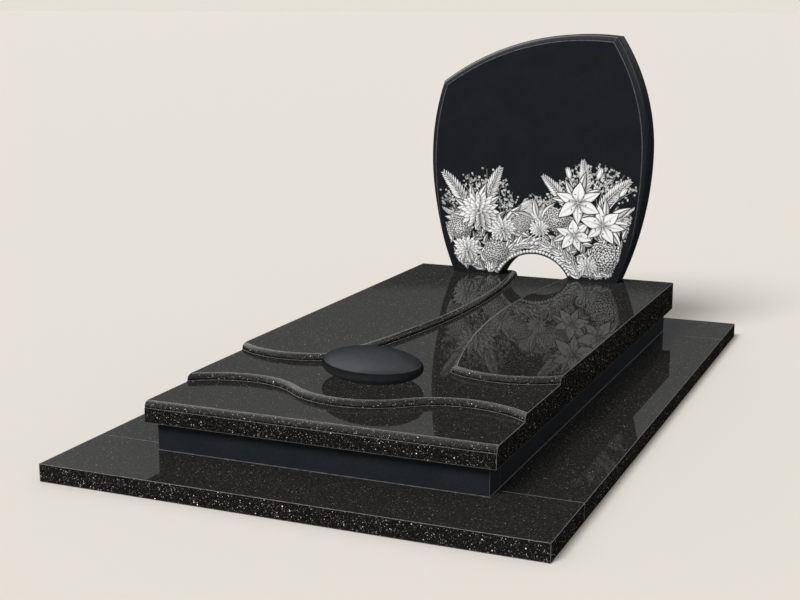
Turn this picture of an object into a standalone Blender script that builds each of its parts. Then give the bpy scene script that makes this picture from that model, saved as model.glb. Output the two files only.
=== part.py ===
"""Granite grave monument: headstone, stepped ledger with a river bed, plinth, surround and pebble.

Metres, +Z up, +Y to the back. The origin is the centre of the underside of the surround.
"""

import math

import bmesh
import bpy
from mathutils import Matrix, Vector

COLLECTION = "headstone"
CONTACT_GAP = 0.0003
FACET_SAG = 0.0003
ARRIS = 0.0015

# Ledger: the slab that covers the grave
LEDGER_WIDTH = 1.00
LEDGER_LENGTH = 2.00
LEDGER_FRONT_THICKNESS = 0.06
STEP_RISE = 0.02
STEP_LIP = 0.0015

# Plinth: four walls under the ledger
LEDGER_OVERHANG = 0.025
PLINTH_HEIGHT = 0.08
PLINTH_WALL = 0.08

# Surround: four slabs laid flat on the ground
BASE_THICKNESS = 0.05
BASE_MARGIN = 0.225
BASE_BEARING = 0.055

# Moulding: a quarter-round with a small ledge at its foot
STEP_MOULDING = 0.018
MOULDING_LEDGE = 0.0025
LEDGE_SLOPE = 0.0005
ROLL_SEGMENTS = 6

# Wave: the curved step between the front zone and the river bed
WAVE_FRONT = 0.175
WAVE_TROUGH_RADIUS = 0.24
WAVE_CREST_FRONT = 0.299
WAVE_FLANK_RADIUS = 0.235
WAVE_SIDE_DROP = 0.06

# Banks: two leaf shapes that leave the river between them
BANK_TIP_FRONT = 0.54
BANK_TIP_HALF_GAP = 0.1934
BANK_SIDE_FRONT = 0.558
BANK_FRONT_BULGE = 0.0527
RIVER_WAIST_REAR = 0.58
RIVER_WAIST_HALF_GAP = 0.07

# Headstone: the upright slab, asymmetric at the top
HEADSTONE_THICKNESS = 0.10
HEADSTONE_SHIFT = -0.0105
HEADSTONE_HEIGHT = 0.903
HEADSTONE_FOOT_WIDTH = 0.64
HEADSTONE_FULL_WIDTH = 0.839
HEADSTONE_CROWN_OFFSET = 0.1772
HEADSTONE_TOP_RADIUS = 0.9375
RIGHT_SIDE_RADIUS = 0.7542
RIGHT_WIDEST_HEIGHT = 0.4767
RIGHT_JOIN_HEIGHT = 0.4597
LEFT_SIDE_RADIUS = 0.8394
LEFT_WIDEST_HEIGHT = 0.4478
LEFT_JOIN_HEIGHT = 0.3166
HEADSTONE_MOULDING = 0.021
MOULDING_DIES_HEIGHT = 0.10
MOULDING_FULL_HEIGHT = 0.49
ARCH_SPAN = 0.271
ARCH_RISE = 0.087

# Pebble: a smooth oval stone that lies on the river bed
PEBBLE_LENGTH = 0.337
PEBBLE_BREADTH = 0.260
PEBBLE_HEIGHT = 0.0775
PEBBLE_FLAT = 0.0015
PEBBLE_OFFSET = -0.005
PEBBLE_FRONT = 0.395
PEBBLE_TURN = math.radians(-32.3)
PEBBLE_SEGMENTS = 40
PEBBLE_RINGS = 18

# Levels and extents that follow from the sizes above
PLINTH_TOP = BASE_THICKNESS + PLINTH_HEIGHT
FRONT_LEVEL = PLINTH_TOP + LEDGER_FRONT_THICKNESS
RIVER_LEVEL = FRONT_LEVEL + STEP_RISE
BANK_LEVEL = RIVER_LEVEL + STEP_RISE
LEDGER_FRONT = -LEDGER_LENGTH / 2
LEDGER_REAR = LEDGER_LENGTH / 2
PLINTH_HALF_WIDTH = LEDGER_WIDTH / 2 - LEDGER_OVERHANG
PLINTH_HALF_LENGTH = LEDGER_LENGTH / 2 - LEDGER_OVERHANG
BASE_HALF_WIDTH = PLINTH_HALF_WIDTH + BASE_MARGIN
BASE_HALF_LENGTH = PLINTH_HALF_LENGTH + BASE_MARGIN
BASE_SLAB_WIDTH = BASE_MARGIN + BASE_BEARING
TRIM_OVERLAP = 0.03

SPECKLED_GRANITE = ((0.036, 0.035, 0.034, 1.0), 0.10)
PLAIN_GRANITE = ((0.016, 0.018, 0.022, 1.0), 0.32)
PEBBLE_STONE = ((0.030, 0.033, 0.036, 1.0), 0.22)


def clear_scene():
    for item in list(bpy.data.objects):
        bpy.data.objects.remove(item)


def new_collection(name):
    collection = bpy.data.collections.new(name)
    bpy.context.scene.collection.children.link(collection)
    return collection


def new_material(name, look):
    colour, roughness = look
    material = bpy.data.materials.new(name)
    material.use_nodes = True
    shader = material.node_tree.nodes["Principled BSDF"]
    shader.inputs["Base Color"].default_value = colour
    shader.inputs["Roughness"].default_value = roughness
    shader.inputs["Metallic"].default_value = 0.0
    return material


def mesh_object(name, shape, collection):
    """The bmesh becomes an object in the collection."""
    bmesh.ops.recalc_face_normals(shape, faces=shape.faces)
    mesh = bpy.data.meshes.new(name)
    shape.to_mesh(mesh)
    shape.free()
    item = bpy.data.objects.new(name, mesh)
    collection.objects.link(item)
    return item


def operand(item):
    """Marks a shape that is only joined to or cut from a part."""
    item.hide_render = True
    item.display_type = "WIRE"
    return item


def boolean(item, operation, other):
    modifier = item.modifiers.new(operation.title() + " " + other.name, "BOOLEAN")
    modifier.operation = operation
    modifier.object = other
    modifier.solver = "EXACT"


def cube(low, high):
    """A box between two corners, as a bmesh."""
    low, high = Vector(low), Vector(high)
    shape = bmesh.new()
    bmesh.ops.create_cube(shape, size=1.0)
    size = high - low
    place = Matrix.Translation((low + high) / 2) @ Matrix.Diagonal((*size, 1.0))
    bmesh.ops.transform(shape, matrix=place, verts=shape.verts)
    return shape


def slab(name, low, high, look, collection):
    """A sawn granite slab with small chamfers on its edges."""
    item = mesh_object(name, cube(low, high), collection)
    bevel = item.modifiers.new("Arris", "BEVEL")
    bevel.width = ARRIS
    bevel.segments = 1
    item.data.materials.append(new_material(name, look))
    return item


def arc(centre, radius, start, end):
    """Points from angle start to angle end, close enough for the allowed sag."""
    largest = 2 * math.acos(1 - FACET_SAG / radius)
    count = max(2, math.ceil(abs(end - start) / largest))
    angles = [start + (end - start) * i / count for i in range(count + 1)]
    return [Vector((centre[0] + radius * math.cos(a), centre[1] + radius * math.sin(a))) for a in angles]


def angle_to(centre, point):
    return math.atan2(point[1] - centre[1], point[0] - centre[0])


def circle_crossing(centre, radius, other, other_radius, side):
    """One of the two points where two circles cross: side is 1 left of the line of centres, -1 right."""
    centre, other = Vector(centre), Vector(other)
    between = other - centre
    distance = between.length
    along = (distance**2 + radius**2 - other_radius**2) / (2 * distance)
    across = math.sqrt(radius**2 - along**2)
    unit = between / distance
    return centre + unit * along + Vector((-unit.y, unit.x)) * across * side


def chord_radius(half_chord, sag):
    """Radius of the arc that rises by sag over a half chord."""
    return (half_chord**2 + sag**2) / (2 * sag)


def moulding(width, depth):
    """Quarter-round and ledge as (distance out from the arris, drop below it)."""
    roll_width = width - MOULDING_LEDGE
    roll_depth = depth - LEDGE_SLOPE
    turns = [math.pi / 2 * i / ROLL_SEGMENTS for i in range(ROLL_SEGMENTS + 1)]
    profile = [(roll_width * math.sin(t), roll_depth * (1 - math.cos(t))) for t in turns]
    return profile + [(width, depth)]


def moved_corner(before, point, after, distance_before, distance_after):
    """Where the corner goes when its two edges move to their right by the two distances."""
    first = (point - before).normalized()
    second = (after - point).normalized()
    normal_a = Vector((first.y, -first.x))
    normal_b = Vector((second.y, -second.x))
    cross = normal_a.x * normal_b.y - normal_a.y * normal_b.x
    if abs(cross) < 0.25:
        mean = (normal_a + normal_b).normalized()
        return point + mean * (distance_before + distance_after) / 2 / mean.dot(normal_a)
    x = (distance_before * normal_b.y - distance_after * normal_a.y) / cross
    y = (distance_after * normal_a.x - distance_before * normal_b.x) / cross
    return point + Vector((x, y))


def offset_outline(points, distances):
    """Moves a closed outline to its right. distances holds (edge before, edge after) for each point."""
    count = len(points)
    return [
        moved_corner(points[i - 1], points[i], points[(i + 1) % count], *distances[i])
        for i in range(count)
    ]


def loft(rings):
    """A closed body through rings of equally many points, capped at both ends."""
    shape = bmesh.new()
    rows = [[shape.verts.new(point) for point in ring] for ring in rings]
    for lower, upper in zip(rows, rows[1:]):
        for i in range(len(lower)):
            corners = (lower[i - 1], lower[i], upper[i], upper[i - 1])
            shape.faces.new(corners)
    shape.faces.new(rows[0])
    shape.faces.new(reversed(rows[-1]))
    return shape


def terrace(name, outline, level, skirt, collection):
    """A raised area with the step moulding all round and a skirt that reaches into what is below it."""
    profile = moulding(STEP_MOULDING, STEP_RISE - STEP_LIP)
    profile.append((STEP_MOULDING, STEP_RISE + skirt))
    rings = []
    for out, drop in profile:
        ring = offset_outline(outline, [(out, out)] * len(outline))
        rings.append([Vector((p.x, p.y, level - drop)) for p in ring])
    return operand(mesh_object(name, loft(rings), collection))


def extended(points, reach):
    """An open outline run on in a straight line to the given x."""
    onward = points[-1] - points[-2]
    return points + [points[-1] + onward * (reach - points[-1].x) / onward.x]


def mirrored(points):
    """The outline on the other side of the middle, running the same way round."""
    return [Vector((-p.x, p.y)) for p in reversed(points)]


def wave_outline(reach):
    """Plan of the river bed, counter-clockwise: the wave from left to right, then round the back."""
    trough = Vector((0, LEDGER_FRONT + WAVE_FRONT + WAVE_TROUGH_RADIUS))
    flank_y = LEDGER_FRONT + WAVE_CREST_FRONT - WAVE_FLANK_RADIUS
    between = WAVE_TROUGH_RADIUS + WAVE_FLANK_RADIUS
    crest_x = math.sqrt(between**2 - (trough.y - flank_y) ** 2)
    flank = Vector((crest_x, flank_y))
    side_run = LEDGER_WIDTH / 2 - crest_x
    outer_radius = chord_radius(side_run, WAVE_SIDE_DROP)
    outer = Vector((crest_x, LEDGER_FRONT + WAVE_CREST_FRONT - outer_radius))
    meet = angle_to(trough, flank)
    end = math.acos(side_run / outer_radius)
    right = arc(trough, WAVE_TROUGH_RADIUS, -math.pi / 2, meet)
    right += arc(flank, WAVE_FLANK_RADIUS, meet + math.pi, math.pi / 2)[1:]
    right += arc(outer, outer_radius, math.pi / 2, end)[1:]
    right = extended(right, reach)
    left = mirrored(right)[:-1]
    back = LEDGER_REAR + TRIM_OVERLAP
    return left + right + [Vector((reach, back)), Vector((-reach, back))]


def bank_outline(reach):
    """Plan of the right bank, counter-clockwise from its tip."""
    tip = Vector((BANK_TIP_HALF_GAP, LEDGER_FRONT + BANK_TIP_FRONT))
    side = Vector((LEDGER_WIDTH / 2, LEDGER_FRONT + BANK_SIDE_FRONT))
    chord = side - tip
    front_radius = chord_radius(chord.length / 2, BANK_FRONT_BULGE)
    inward = Vector((-chord.y, chord.x)).normalized()
    lobe = (tip + side) / 2 + inward * (front_radius - BANK_FRONT_BULGE)
    front = arc(lobe, front_radius, angle_to(lobe, tip), angle_to(lobe, side))
    front = extended(front, reach)
    waist_y = LEDGER_REAR - RIVER_WAIST_REAR
    radius = chord_radius(waist_y - tip.y, tip.x - RIVER_WAIST_HALF_GAP)
    middle = Vector((RIVER_WAIST_HALF_GAP + radius, waist_y))
    back = LEDGER_REAR + TRIM_OVERLAP
    rear_angle = math.pi - math.asin((back - waist_y) / radius)
    tip_angle = angle_to(middle, tip) % (2 * math.pi)
    inner = arc(middle, radius, rear_angle, tip_angle)
    return front + [Vector((reach, back))] + inner[:-1]


def make_ledger(collection, operands):
    """The covering slab: nose, river bed and banks joined, then trimmed to the block."""
    half = LEDGER_WIDTH / 2
    reach = half + TRIM_OVERLAP
    back = LEDGER_REAR + TRIM_OVERLAP
    bottom = PLINTH_TOP + CONTACT_GAP
    nose = moulding(STEP_MOULDING, STEP_RISE - STEP_LIP)
    section = [(LEDGER_FRONT + STEP_MOULDING - out, FRONT_LEVEL - drop) for out, drop in nose]
    section += [(LEDGER_FRONT, bottom), (back, bottom), (back, FRONT_LEVEL)]
    rings = [[Vector((x, y, z)) for y, z in section] for x in (-reach, reach)]
    ledger = mesh_object("ledger", loft(rings), collection)
    skirt = LEDGER_FRONT_THICKNESS / 2
    river = terrace("river_bed", wave_outline(reach + TRIM_OVERLAP), RIVER_LEVEL, skirt, operands)
    plan = bank_outline(reach + TRIM_OVERLAP)
    right = terrace("right_bank", plan, BANK_LEVEL, STEP_RISE / 2, operands)
    left = terrace("left_bank", mirrored(plan), BANK_LEVEL, STEP_RISE / 2, operands)
    low = (-half, LEDGER_FRONT - TRIM_OVERLAP, bottom - TRIM_OVERLAP)
    high = (half, LEDGER_REAR, BANK_LEVEL + TRIM_OVERLAP)
    block = operand(mesh_object("ledger_block", cube(low, high), operands))
    for part in (river, right, left):
        boolean(ledger, "UNION", part)
    boolean(ledger, "INTERSECT", block)
    ledger.data.materials.append(new_material("ledger", SPECKLED_GRANITE))


def side_arcs(side, radius, widest, join):
    """Foot to top corner of one side (1 right, -1 left), with the two arcs smooth at their join."""
    half_foot = HEADSTONE_FOOT_WIDTH / 2
    half_full = HEADSTONE_FULL_WIDTH / 2
    upper = Vector((half_full - radius, widest))
    top = Vector((side * HEADSTONE_CROWN_OFFSET, HEADSTONE_HEIGHT - HEADSTONE_TOP_RADIUS))
    corner = circle_crossing(upper, radius, top, HEADSTONE_TOP_RADIUS, 1)
    bend = math.asin((join - widest) / radius)
    outward = Vector((math.cos(bend), math.sin(bend)))
    joint = upper + outward * radius
    chord = Vector((half_foot, 0)) - joint
    lower_radius = -chord.length_squared / (2 * chord.dot(outward))
    lower = joint - outward * lower_radius
    points = arc(lower, lower_radius, angle_to(lower, (half_foot, 0)), bend)
    points += arc(upper, radius, bend, angle_to(upper, corner))[1:]
    return [Vector((side * p.x, p.y)) for p in points]


def arch_points():
    """The opening's curve, from its left foot over the crown to its right foot."""
    radius = chord_radius(ARCH_SPAN / 2, ARCH_RISE)
    centre = Vector((0, ARCH_RISE - radius))
    start = angle_to(centre, (-ARCH_SPAN / 2, 0))
    end = angle_to(centre, (ARCH_SPAN / 2, 0))
    return arc(centre, radius, start, end)


def headstone_outline():
    """Outline seen from the front, counter-clockwise, and the moulding's share at each point's two edges."""
    right = side_arcs(1, RIGHT_SIDE_RADIUS, RIGHT_WIDEST_HEIGHT, RIGHT_JOIN_HEIGHT)
    left = side_arcs(-1, LEFT_SIDE_RADIUS, LEFT_WIDEST_HEIGHT, LEFT_JOIN_HEIGHT)
    left.reverse()
    top = Vector((HEADSTONE_CROWN_OFFSET, HEADSTONE_HEIGHT - HEADSTONE_TOP_RADIUS))
    crown = arc(top, HEADSTONE_TOP_RADIUS, angle_to(top, right[-1]), angle_to(top, left[0]))
    arch = arch_points()
    points = right + crown[1:-1] + left + arch
    plain = ARRIS / HEADSTONE_MOULDING
    shares = [(moulding_share(p.y), moulding_share(p.y)) for p in right]
    shares += [(1.0, 1.0)] * (len(crown) - 2)
    shares += [(moulding_share(p.y), moulding_share(p.y)) for p in left]
    shares += [(plain, plain)] * len(arch)
    first_arch = len(points) - len(arch)
    shares[0] = (0.0, shares[0][1])
    shares[first_arch - 1] = (shares[first_arch - 1][0], 0.0)
    shares[first_arch] = (0.0, plain)
    shares[-1] = (plain, 0.0)
    return points, shares


def moulding_share(height):
    """The moulding dies away down the sides and leaves a small chamfer."""
    climb = (height - MOULDING_DIES_HEIGHT) / (MOULDING_FULL_HEIGHT - MOULDING_DIES_HEIGHT)
    share = math.sin(math.pi / 2 * min(max(climb, 0.0), 1.0))
    return max(share, ARRIS / HEADSTONE_MOULDING)


def headstone_ring(points, shares, inward, depth_at):
    """The outline moved inward, each point at the depth that its own share gives."""
    moved = offset_outline(points, [(-inward * a, -inward * b) for a, b in shares])
    ring = []
    for point, (before, after) in zip(moved, shares):
        depth = depth_at(max(before, after))
        ring.append(Vector((point.x, depth, point.y)))
    return ring


def make_headstone(collection):
    """The upright slab, lofted from its back to its moulded front edge."""
    points, shares = headstone_outline()
    chamfer = ARRIS / HEADSTONE_MOULDING
    back_shares = [(chamfer * (a > 0), chamfer * (b > 0)) for a, b in shares]
    width = HEADSTONE_MOULDING
    thickness = HEADSTONE_THICKNESS
    rings = [
        headstone_ring(points, back_shares, width, lambda share: thickness),
        headstone_ring(points, back_shares, 0.0, lambda share: thickness - ARRIS),
    ]
    for out, drop in reversed(moulding(width, width)):
        rings.append(headstone_ring(points, shares, width - out, lambda share, drop=drop: drop * share))
    shape = loft(rings)
    place = (HEADSTONE_SHIFT, LEDGER_REAR - thickness, BANK_LEVEL + CONTACT_GAP)
    headstone = mesh_object("headstone", shape, collection)
    headstone.location = place
    headstone.data.materials.append(new_material("headstone", PLAIN_GRANITE))
    headstone.data.shade_smooth()
    headstone.data.set_sharp_from_angle(angle=math.radians(25))


def make_pebble(collection):
    """An oval stone with a small flat where it rests."""
    shape = bmesh.new()
    bmesh.ops.create_uvsphere(shape, u_segments=PEBBLE_SEGMENTS, v_segments=PEBBLE_RINGS, radius=0.5)
    size = Matrix.Diagonal((PEBBLE_LENGTH, PEBBLE_BREADTH, PEBBLE_HEIGHT + PEBBLE_FLAT, 1.0))
    raise_up = Matrix.Translation((0, 0, (PEBBLE_HEIGHT - PEBBLE_FLAT) / 2))
    bmesh.ops.transform(shape, matrix=raise_up @ size, verts=shape.verts)
    everything = shape.verts[:] + shape.edges[:] + shape.faces[:]
    cut = bmesh.ops.bisect_plane(
        shape, geom=everything, plane_co=(0, 0, 0), plane_no=(0, 0, -1), clear_outer=True
    )
    rim = [edge for edge in cut["geom_cut"] if isinstance(edge, bmesh.types.BMEdge)]
    bmesh.ops.contextual_create(shape, geom=rim)
    pebble = mesh_object("pebble", shape, collection)
    pebble.location = (PEBBLE_OFFSET, LEDGER_FRONT + PEBBLE_FRONT, RIVER_LEVEL + CONTACT_GAP)
    pebble.rotation_euler.z = PEBBLE_TURN
    pebble.data.materials.append(new_material("pebble", PEBBLE_STONE))
    pebble.data.shade_smooth()
    pebble.data.set_sharp_from_angle(angle=math.radians(30))


def make_frame(prefix, half_width, half_length, width, low, high, look, collection):
    """Four pieces round a rectangle: front and rear run through, the sides stand between them."""
    inner_x = half_width - width
    inner_y = half_length - width
    side_y = inner_y - CONTACT_GAP
    boxes = {
        "front": ((-half_width, -half_length), (half_width, -inner_y)),
        "rear": ((-half_width, inner_y), (half_width, half_length)),
        "left": ((-half_width, -side_y), (-inner_x, side_y)),
        "right": ((inner_x, -side_y), (half_width, side_y)),
    }
    for place, (near, far) in boxes.items():
        slab(prefix + place, (*near, low), (*far, high), look, collection)


def main():
    clear_scene()
    parts = new_collection(COLLECTION)
    operands = new_collection("operands")
    make_frame(
        "base_", BASE_HALF_WIDTH, BASE_HALF_LENGTH, BASE_SLAB_WIDTH, 0.0, BASE_THICKNESS, SPECKLED_GRANITE, parts
    )
    plinth_low = BASE_THICKNESS + CONTACT_GAP
    make_frame(
        "plinth_", PLINTH_HALF_WIDTH, PLINTH_HALF_LENGTH, PLINTH_WALL, plinth_low, PLINTH_TOP, PLAIN_GRANITE, parts
    )
    make_ledger(parts, operands)
    make_headstone(parts)
    make_pebble(parts)


main()
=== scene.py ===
"""Looks of the granite grave monument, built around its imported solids."""

import math
import random

import bmesh
import bpy
import numpy as np
from bpy.props import FloatProperty, FloatVectorProperty, IntProperty, PointerProperty
from mathutils import Euler, Matrix, Vector


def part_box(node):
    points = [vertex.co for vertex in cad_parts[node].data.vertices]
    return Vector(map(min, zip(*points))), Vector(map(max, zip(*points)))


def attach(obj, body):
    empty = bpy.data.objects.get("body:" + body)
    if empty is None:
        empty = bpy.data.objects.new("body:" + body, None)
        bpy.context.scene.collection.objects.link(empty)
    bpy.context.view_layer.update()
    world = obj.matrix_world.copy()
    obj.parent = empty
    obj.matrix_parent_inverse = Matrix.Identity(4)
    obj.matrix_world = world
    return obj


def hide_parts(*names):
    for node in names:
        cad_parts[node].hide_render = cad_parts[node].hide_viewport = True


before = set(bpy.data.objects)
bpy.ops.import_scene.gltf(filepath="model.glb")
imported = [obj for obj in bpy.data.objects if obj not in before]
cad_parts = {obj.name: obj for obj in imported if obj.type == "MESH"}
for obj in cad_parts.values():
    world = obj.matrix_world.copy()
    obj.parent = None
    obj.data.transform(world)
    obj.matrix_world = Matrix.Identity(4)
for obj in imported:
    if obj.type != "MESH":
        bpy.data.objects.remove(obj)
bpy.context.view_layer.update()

bl_info = {
    "name": "Granite Grave Monument",
    "version": (1, 0, 0),
    "blender": (4, 5, 0),
    "location": "3D View > Sidebar > Monument",
    "description": "Builds the polished stones, mouldings and etched picture of a grave monument",
    "category": "Add Mesh",
}

SURROUND = ("base_front", "base_rear", "base_left", "base_right")
PLINTH = ("plinth_front", "plinth_rear", "plinth_left", "plinth_right")

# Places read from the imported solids
LEDGER_LOW, LEDGER_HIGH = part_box("ledger")
STONE_LOW, STONE_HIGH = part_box("headstone")
PEBBLE_LOW, PEBBLE_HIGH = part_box("pebble")

# Levels of the ledger's top, a step apart
STEP_RISE = 0.02
BANK_LEVEL = LEDGER_HIGH.z
RIVER_LEVEL = BANK_LEVEL - STEP_RISE
FRONT_LEVEL = RIVER_LEVEL - STEP_RISE

# Fine sizes: a moulding's upper chamfer on the ledger and on the headstone, the fall of its small ledge, the
# plain riser under it, the bead at the plinth's foot, and how much the pebble is flattened where it lies
LEDGER_CHAMFER = 0.0012
HEADSTONE_CHAMFER = 0.0023
LEDGE_FALL = 0.0005
RISER = 0.0015
BEAD = 0.0013
PEBBLE_FLAT = 0.0015
SMOOTH_LIMIT = math.radians(28)


class StoneSizes(bpy.types.PropertyGroup):
    """Edges and mouldings of the stones"""

    arris: FloatProperty(
        name="Arris", description="Width of the honed chamfer on every upper edge", default=0.0012,
        unit="LENGTH",
    )
    low_arris: FloatProperty(
        name="Lower Arris", description="Width of the honed chamfer on the lower edges", default=0.0022,
        unit="LENGTH",
    )
    roll_turns: IntProperty(
        name="Roll Segments", description="Facets across the quarter-round", default=14, min=4
    )
    moulding: FloatProperty(
        name="Step Moulding", description="Width of the moulding on the ledger's steps", default=0.018,
        unit="LENGTH",
    )
    ledge: FloatProperty(
        name="Ledge", description="Width of the small ledge at a moulding's foot", default=0.0025,
        unit="LENGTH",
    )
    headstone_moulding: FloatProperty(
        name="Headstone Moulding", description="Width of the headstone's edge moulding", default=0.021,
        unit="LENGTH",
    )


class StoneLooks(bpy.types.PropertyGroup):
    """Colours and polish of the stones"""

    speckled: FloatVectorProperty(
        name="Speckled Granite", description="Ground colour under the flecks", subtype="COLOR",
        default=(0.0135, 0.0132, 0.0128),
    )
    plain: FloatVectorProperty(
        name="Plain Granite", description="Colour of the headstone and plinth", subtype="COLOR",
        default=(0.0122, 0.0143, 0.0172),
    )
    honed: FloatVectorProperty(
        name="Honed Edge", description="Colour of ground, unpolished edges", subtype="COLOR",
        default=(0.13, 0.13, 0.135),
    )
    pebble: FloatVectorProperty(
        name="Pebble", description="Colour of the oval stone", subtype="COLOR",
        default=(0.012, 0.013, 0.0142),
    )
    bronze: FloatVectorProperty(
        name="Bronze Fleck", description="Colour of the warm flecks", subtype="COLOR",
        default=(0.50, 0.43, 0.38),
    )
    silver: FloatVectorProperty(
        name="Silver Fleck", description="Colour of the pale flecks", subtype="COLOR",
        default=(0.85, 0.83, 0.80),
    )


class StudioSettings(bpy.types.PropertyGroup):
    """Floor, light and camera"""

    floor: FloatVectorProperty(
        name="Floor", description="Colour of the studio floor", subtype="COLOR", default=(0.71, 0.675, 0.62)
    )
    sky: FloatProperty(name="Sky", description="Strength of the even light from all around", default=0.48)
    sun: FloatProperty(name="Sun", description="Strength of the soft directed light", default=2.85)
    lens: FloatProperty(
        name="Lens", description="Focal length of the camera", default=62.149, unit="CAMERA"
    )


# Materials


def feed(tree, socket, value):
    """Links an input to another node's result, or sets it to a number or a colour."""
    if isinstance(value, bpy.types.NodeSocket):
        tree.links.new(value, socket)
    elif isinstance(value, (int, float)):
        socket.default_value = value
    else:
        socket.default_value = (*value[:3], 1.0)[: len(socket.default_value)]


def node(tree, kind, *inputs, **named):
    """A new node: its first inputs come in order, its attributes and its other inputs by name."""
    made = tree.nodes.new(kind)
    for key, value in named.items():
        title = key.replace("_", " ").title()
        if title in made.inputs:
            feed(tree, made.inputs[title], value)
        else:
            setattr(made, key, value)
    for socket, value in zip(made.inputs, inputs):
        feed(tree, socket, value)
    return made


def maths(tree, operation, *values):
    """A Math node's result."""
    return node(tree, "ShaderNodeMath", *values, operation=operation).outputs[0]


def ranged(tree, value, low, high, to_low, to_high):
    """A value mapped from one range to another."""
    return node(tree, "ShaderNodeMapRange", value, low, high, to_low, to_high).outputs["Result"]


def shaded(tree, colour, factor):
    """A colour times a factor."""
    return node(tree, "ShaderNodeVectorMath", colour, operation="SCALE", scale=factor).outputs[0]


def blend(tree, factor, first, second):
    """A mix of two colours."""
    made = node(tree, "ShaderNodeMix", factor, data_type="RGBA")
    feed(tree, made.inputs[6], first)
    feed(tree, made.inputs[7], second)
    return made.outputs[2]


def new_stone(name, roughness, specular):
    """A material, its nodes, its Principled shader's inputs and the object's own coordinates."""
    material = bpy.data.materials.new(name)
    material.use_nodes = True
    tree = material.node_tree
    inputs = tree.nodes["Principled BSDF"].inputs
    inputs["Roughness"].default_value = roughness
    inputs["Specular IOR Level"].default_value = specular
    return material, tree, inputs, tree.nodes.new("ShaderNodeTexCoord").outputs["Object"]


def crystals(tree, place, scale):
    """Voronoi cells: the distance from their middles, and three random values for each."""
    cells = node(tree, "ShaderNodeTexVoronoi", vector=place, scale=scale).outputs
    return cells["Distance"], *node(tree, "ShaderNodeSeparateColor", cells["Color"]).outputs


def cloud(tree, place, scale, low, high, detail=3.0):
    """Smooth noise mapped to a range."""
    noise = node(tree, "ShaderNodeTexNoise", vector=place, scale=scale, detail=detail, roughness=0.6)
    return ranged(tree, noise.outputs["Fac"], 0.3, 0.7, low, high)


# Flecks of four sizes: cells per metre, share of cells, smallest and largest radius in cells, brightness
FLECKS = (
    (700.0, 0.42, 0.10, 0.46, 0.22),
    (360.0, 0.36, 0.08, 0.42, 0.52),
    (200.0, 0.22, 0.08, 0.32, 0.80),
    (100.0, 0.09, 0.05, 0.18, 0.95),
)


def speckled_granite(name, ground, flecks, roughness, specular):
    """Near-black granite with bronze and silver flecks of four sizes."""
    looks = bpy.context.scene.stone_looks
    material, tree, inputs, place = new_stone(name, roughness, specular)
    mottle = cloud(tree, place, 120.0, 0.6, 1.5)
    grain = cloud(tree, place, 800.0, 0.6, 1.4, 1.0)
    colour = shaded(tree, ground, maths(tree, "MULTIPLY", mottle, grain))
    rough = cloud(tree, place, 16.0, roughness, roughness + 0.012)
    for scale, share, smallest, largest, brightness in FLECKS:
        distance, pick, width, metal = crystals(tree, place, scale)
        size = ranged(tree, maths(tree, "POWER", width, 2.0), 0.0, 1.0, smallest, largest)
        inside = maths(tree, "LESS_THAN", distance, size)
        mask = maths(tree, "MULTIPLY", maths(tree, "LESS_THAN", pick, share), inside)
        fleck = blend(tree, maths(tree, "GREATER_THAN", metal, 0.5), looks.bronze, looks.silver)
        glint = maths(tree, "POWER", maths(tree, "DIVIDE", pick, share), 1.6)
        brightest = brightness * flecks
        lit = ranged(tree, glint, 0.0, 1.0, 0.12 * brightest, brightest)
        colour = blend(tree, mask, colour, shaded(tree, fleck, lit))
        rough = maths(tree, "MULTIPLY_ADD", mask, 0.1, rough)
    feed(tree, inputs["Base Color"], colour)
    feed(tree, inputs["Roughness"], rough)
    return material


def plain_granite(name, ground, roughness, specular):
    """Even blue-black granite with a fine crystal grain."""
    material, tree, inputs, place = new_stone(name, roughness, specular)
    _, tone, polish, _ = crystals(tree, place, 900.0)
    fine = ranged(tree, tone, 0.0, 1.0, 0.72, 1.28)
    mottled = maths(tree, "MULTIPLY", fine, cloud(tree, place, 11.0, 0.9, 1.1))
    feed(tree, inputs["Base Color"], shaded(tree, ground, mottled))
    feed(tree, inputs["Roughness"], ranged(tree, polish, 0.0, 1.0, roughness, roughness + 0.08))
    return material


def honed_edge(name, ground):
    """Ground edges, paler than the polish because their surface is rough."""
    material, tree, inputs, place = new_stone(name, 0.55, 0.1)
    grain = cloud(tree, place, 420.0, 0.7, 1.3, 4.0)
    wear = cloud(tree, place, 70.0, 0.6, 1.4)
    feed(tree, inputs["Base Color"], shaded(tree, ground, maths(tree, "MULTIPLY", grain, wear)))
    bump = node(tree, "ShaderNodeBump", strength=0.25, distance=0.0002, height=grain)
    feed(tree, inputs["Normal"], bump.outputs["Normal"])
    return material


def etched_stone(name):
    """Pecked marks, whose tone comes from the piece's own attribute."""
    material, tree, inputs, place = new_stone(name, 0.8, 0.1)
    tone = node(tree, "ShaderNodeAttribute", attribute_name="tone")
    grain = cloud(tree, place, 800.0, 0.86, 1.08, 2.0)
    feed(tree, inputs["Base Color"], shaded(tree, tone.outputs["Color"], grain))
    return material


# The pebble's wax, above which its colour is also paler, a painted sheen: half the height over which it
# begins, its share of the light, its tint and roughness
WAX_EDGE, WAX_SHARE, WAX_TINT, WAX_ROUGHNESS = 0.0006, 0.021, (0.92, 0.97, 1.0), 0.28
# Painted light below it, paling the shaded foot: how fast it grows towards the foot, how pale it makes it
# there, and the bare stone's tone
FOOT_LIGHT_POWER, FOOT_LIGHT_TONE, BARE_TONE = 2.4, 22.0, 0.85


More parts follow.
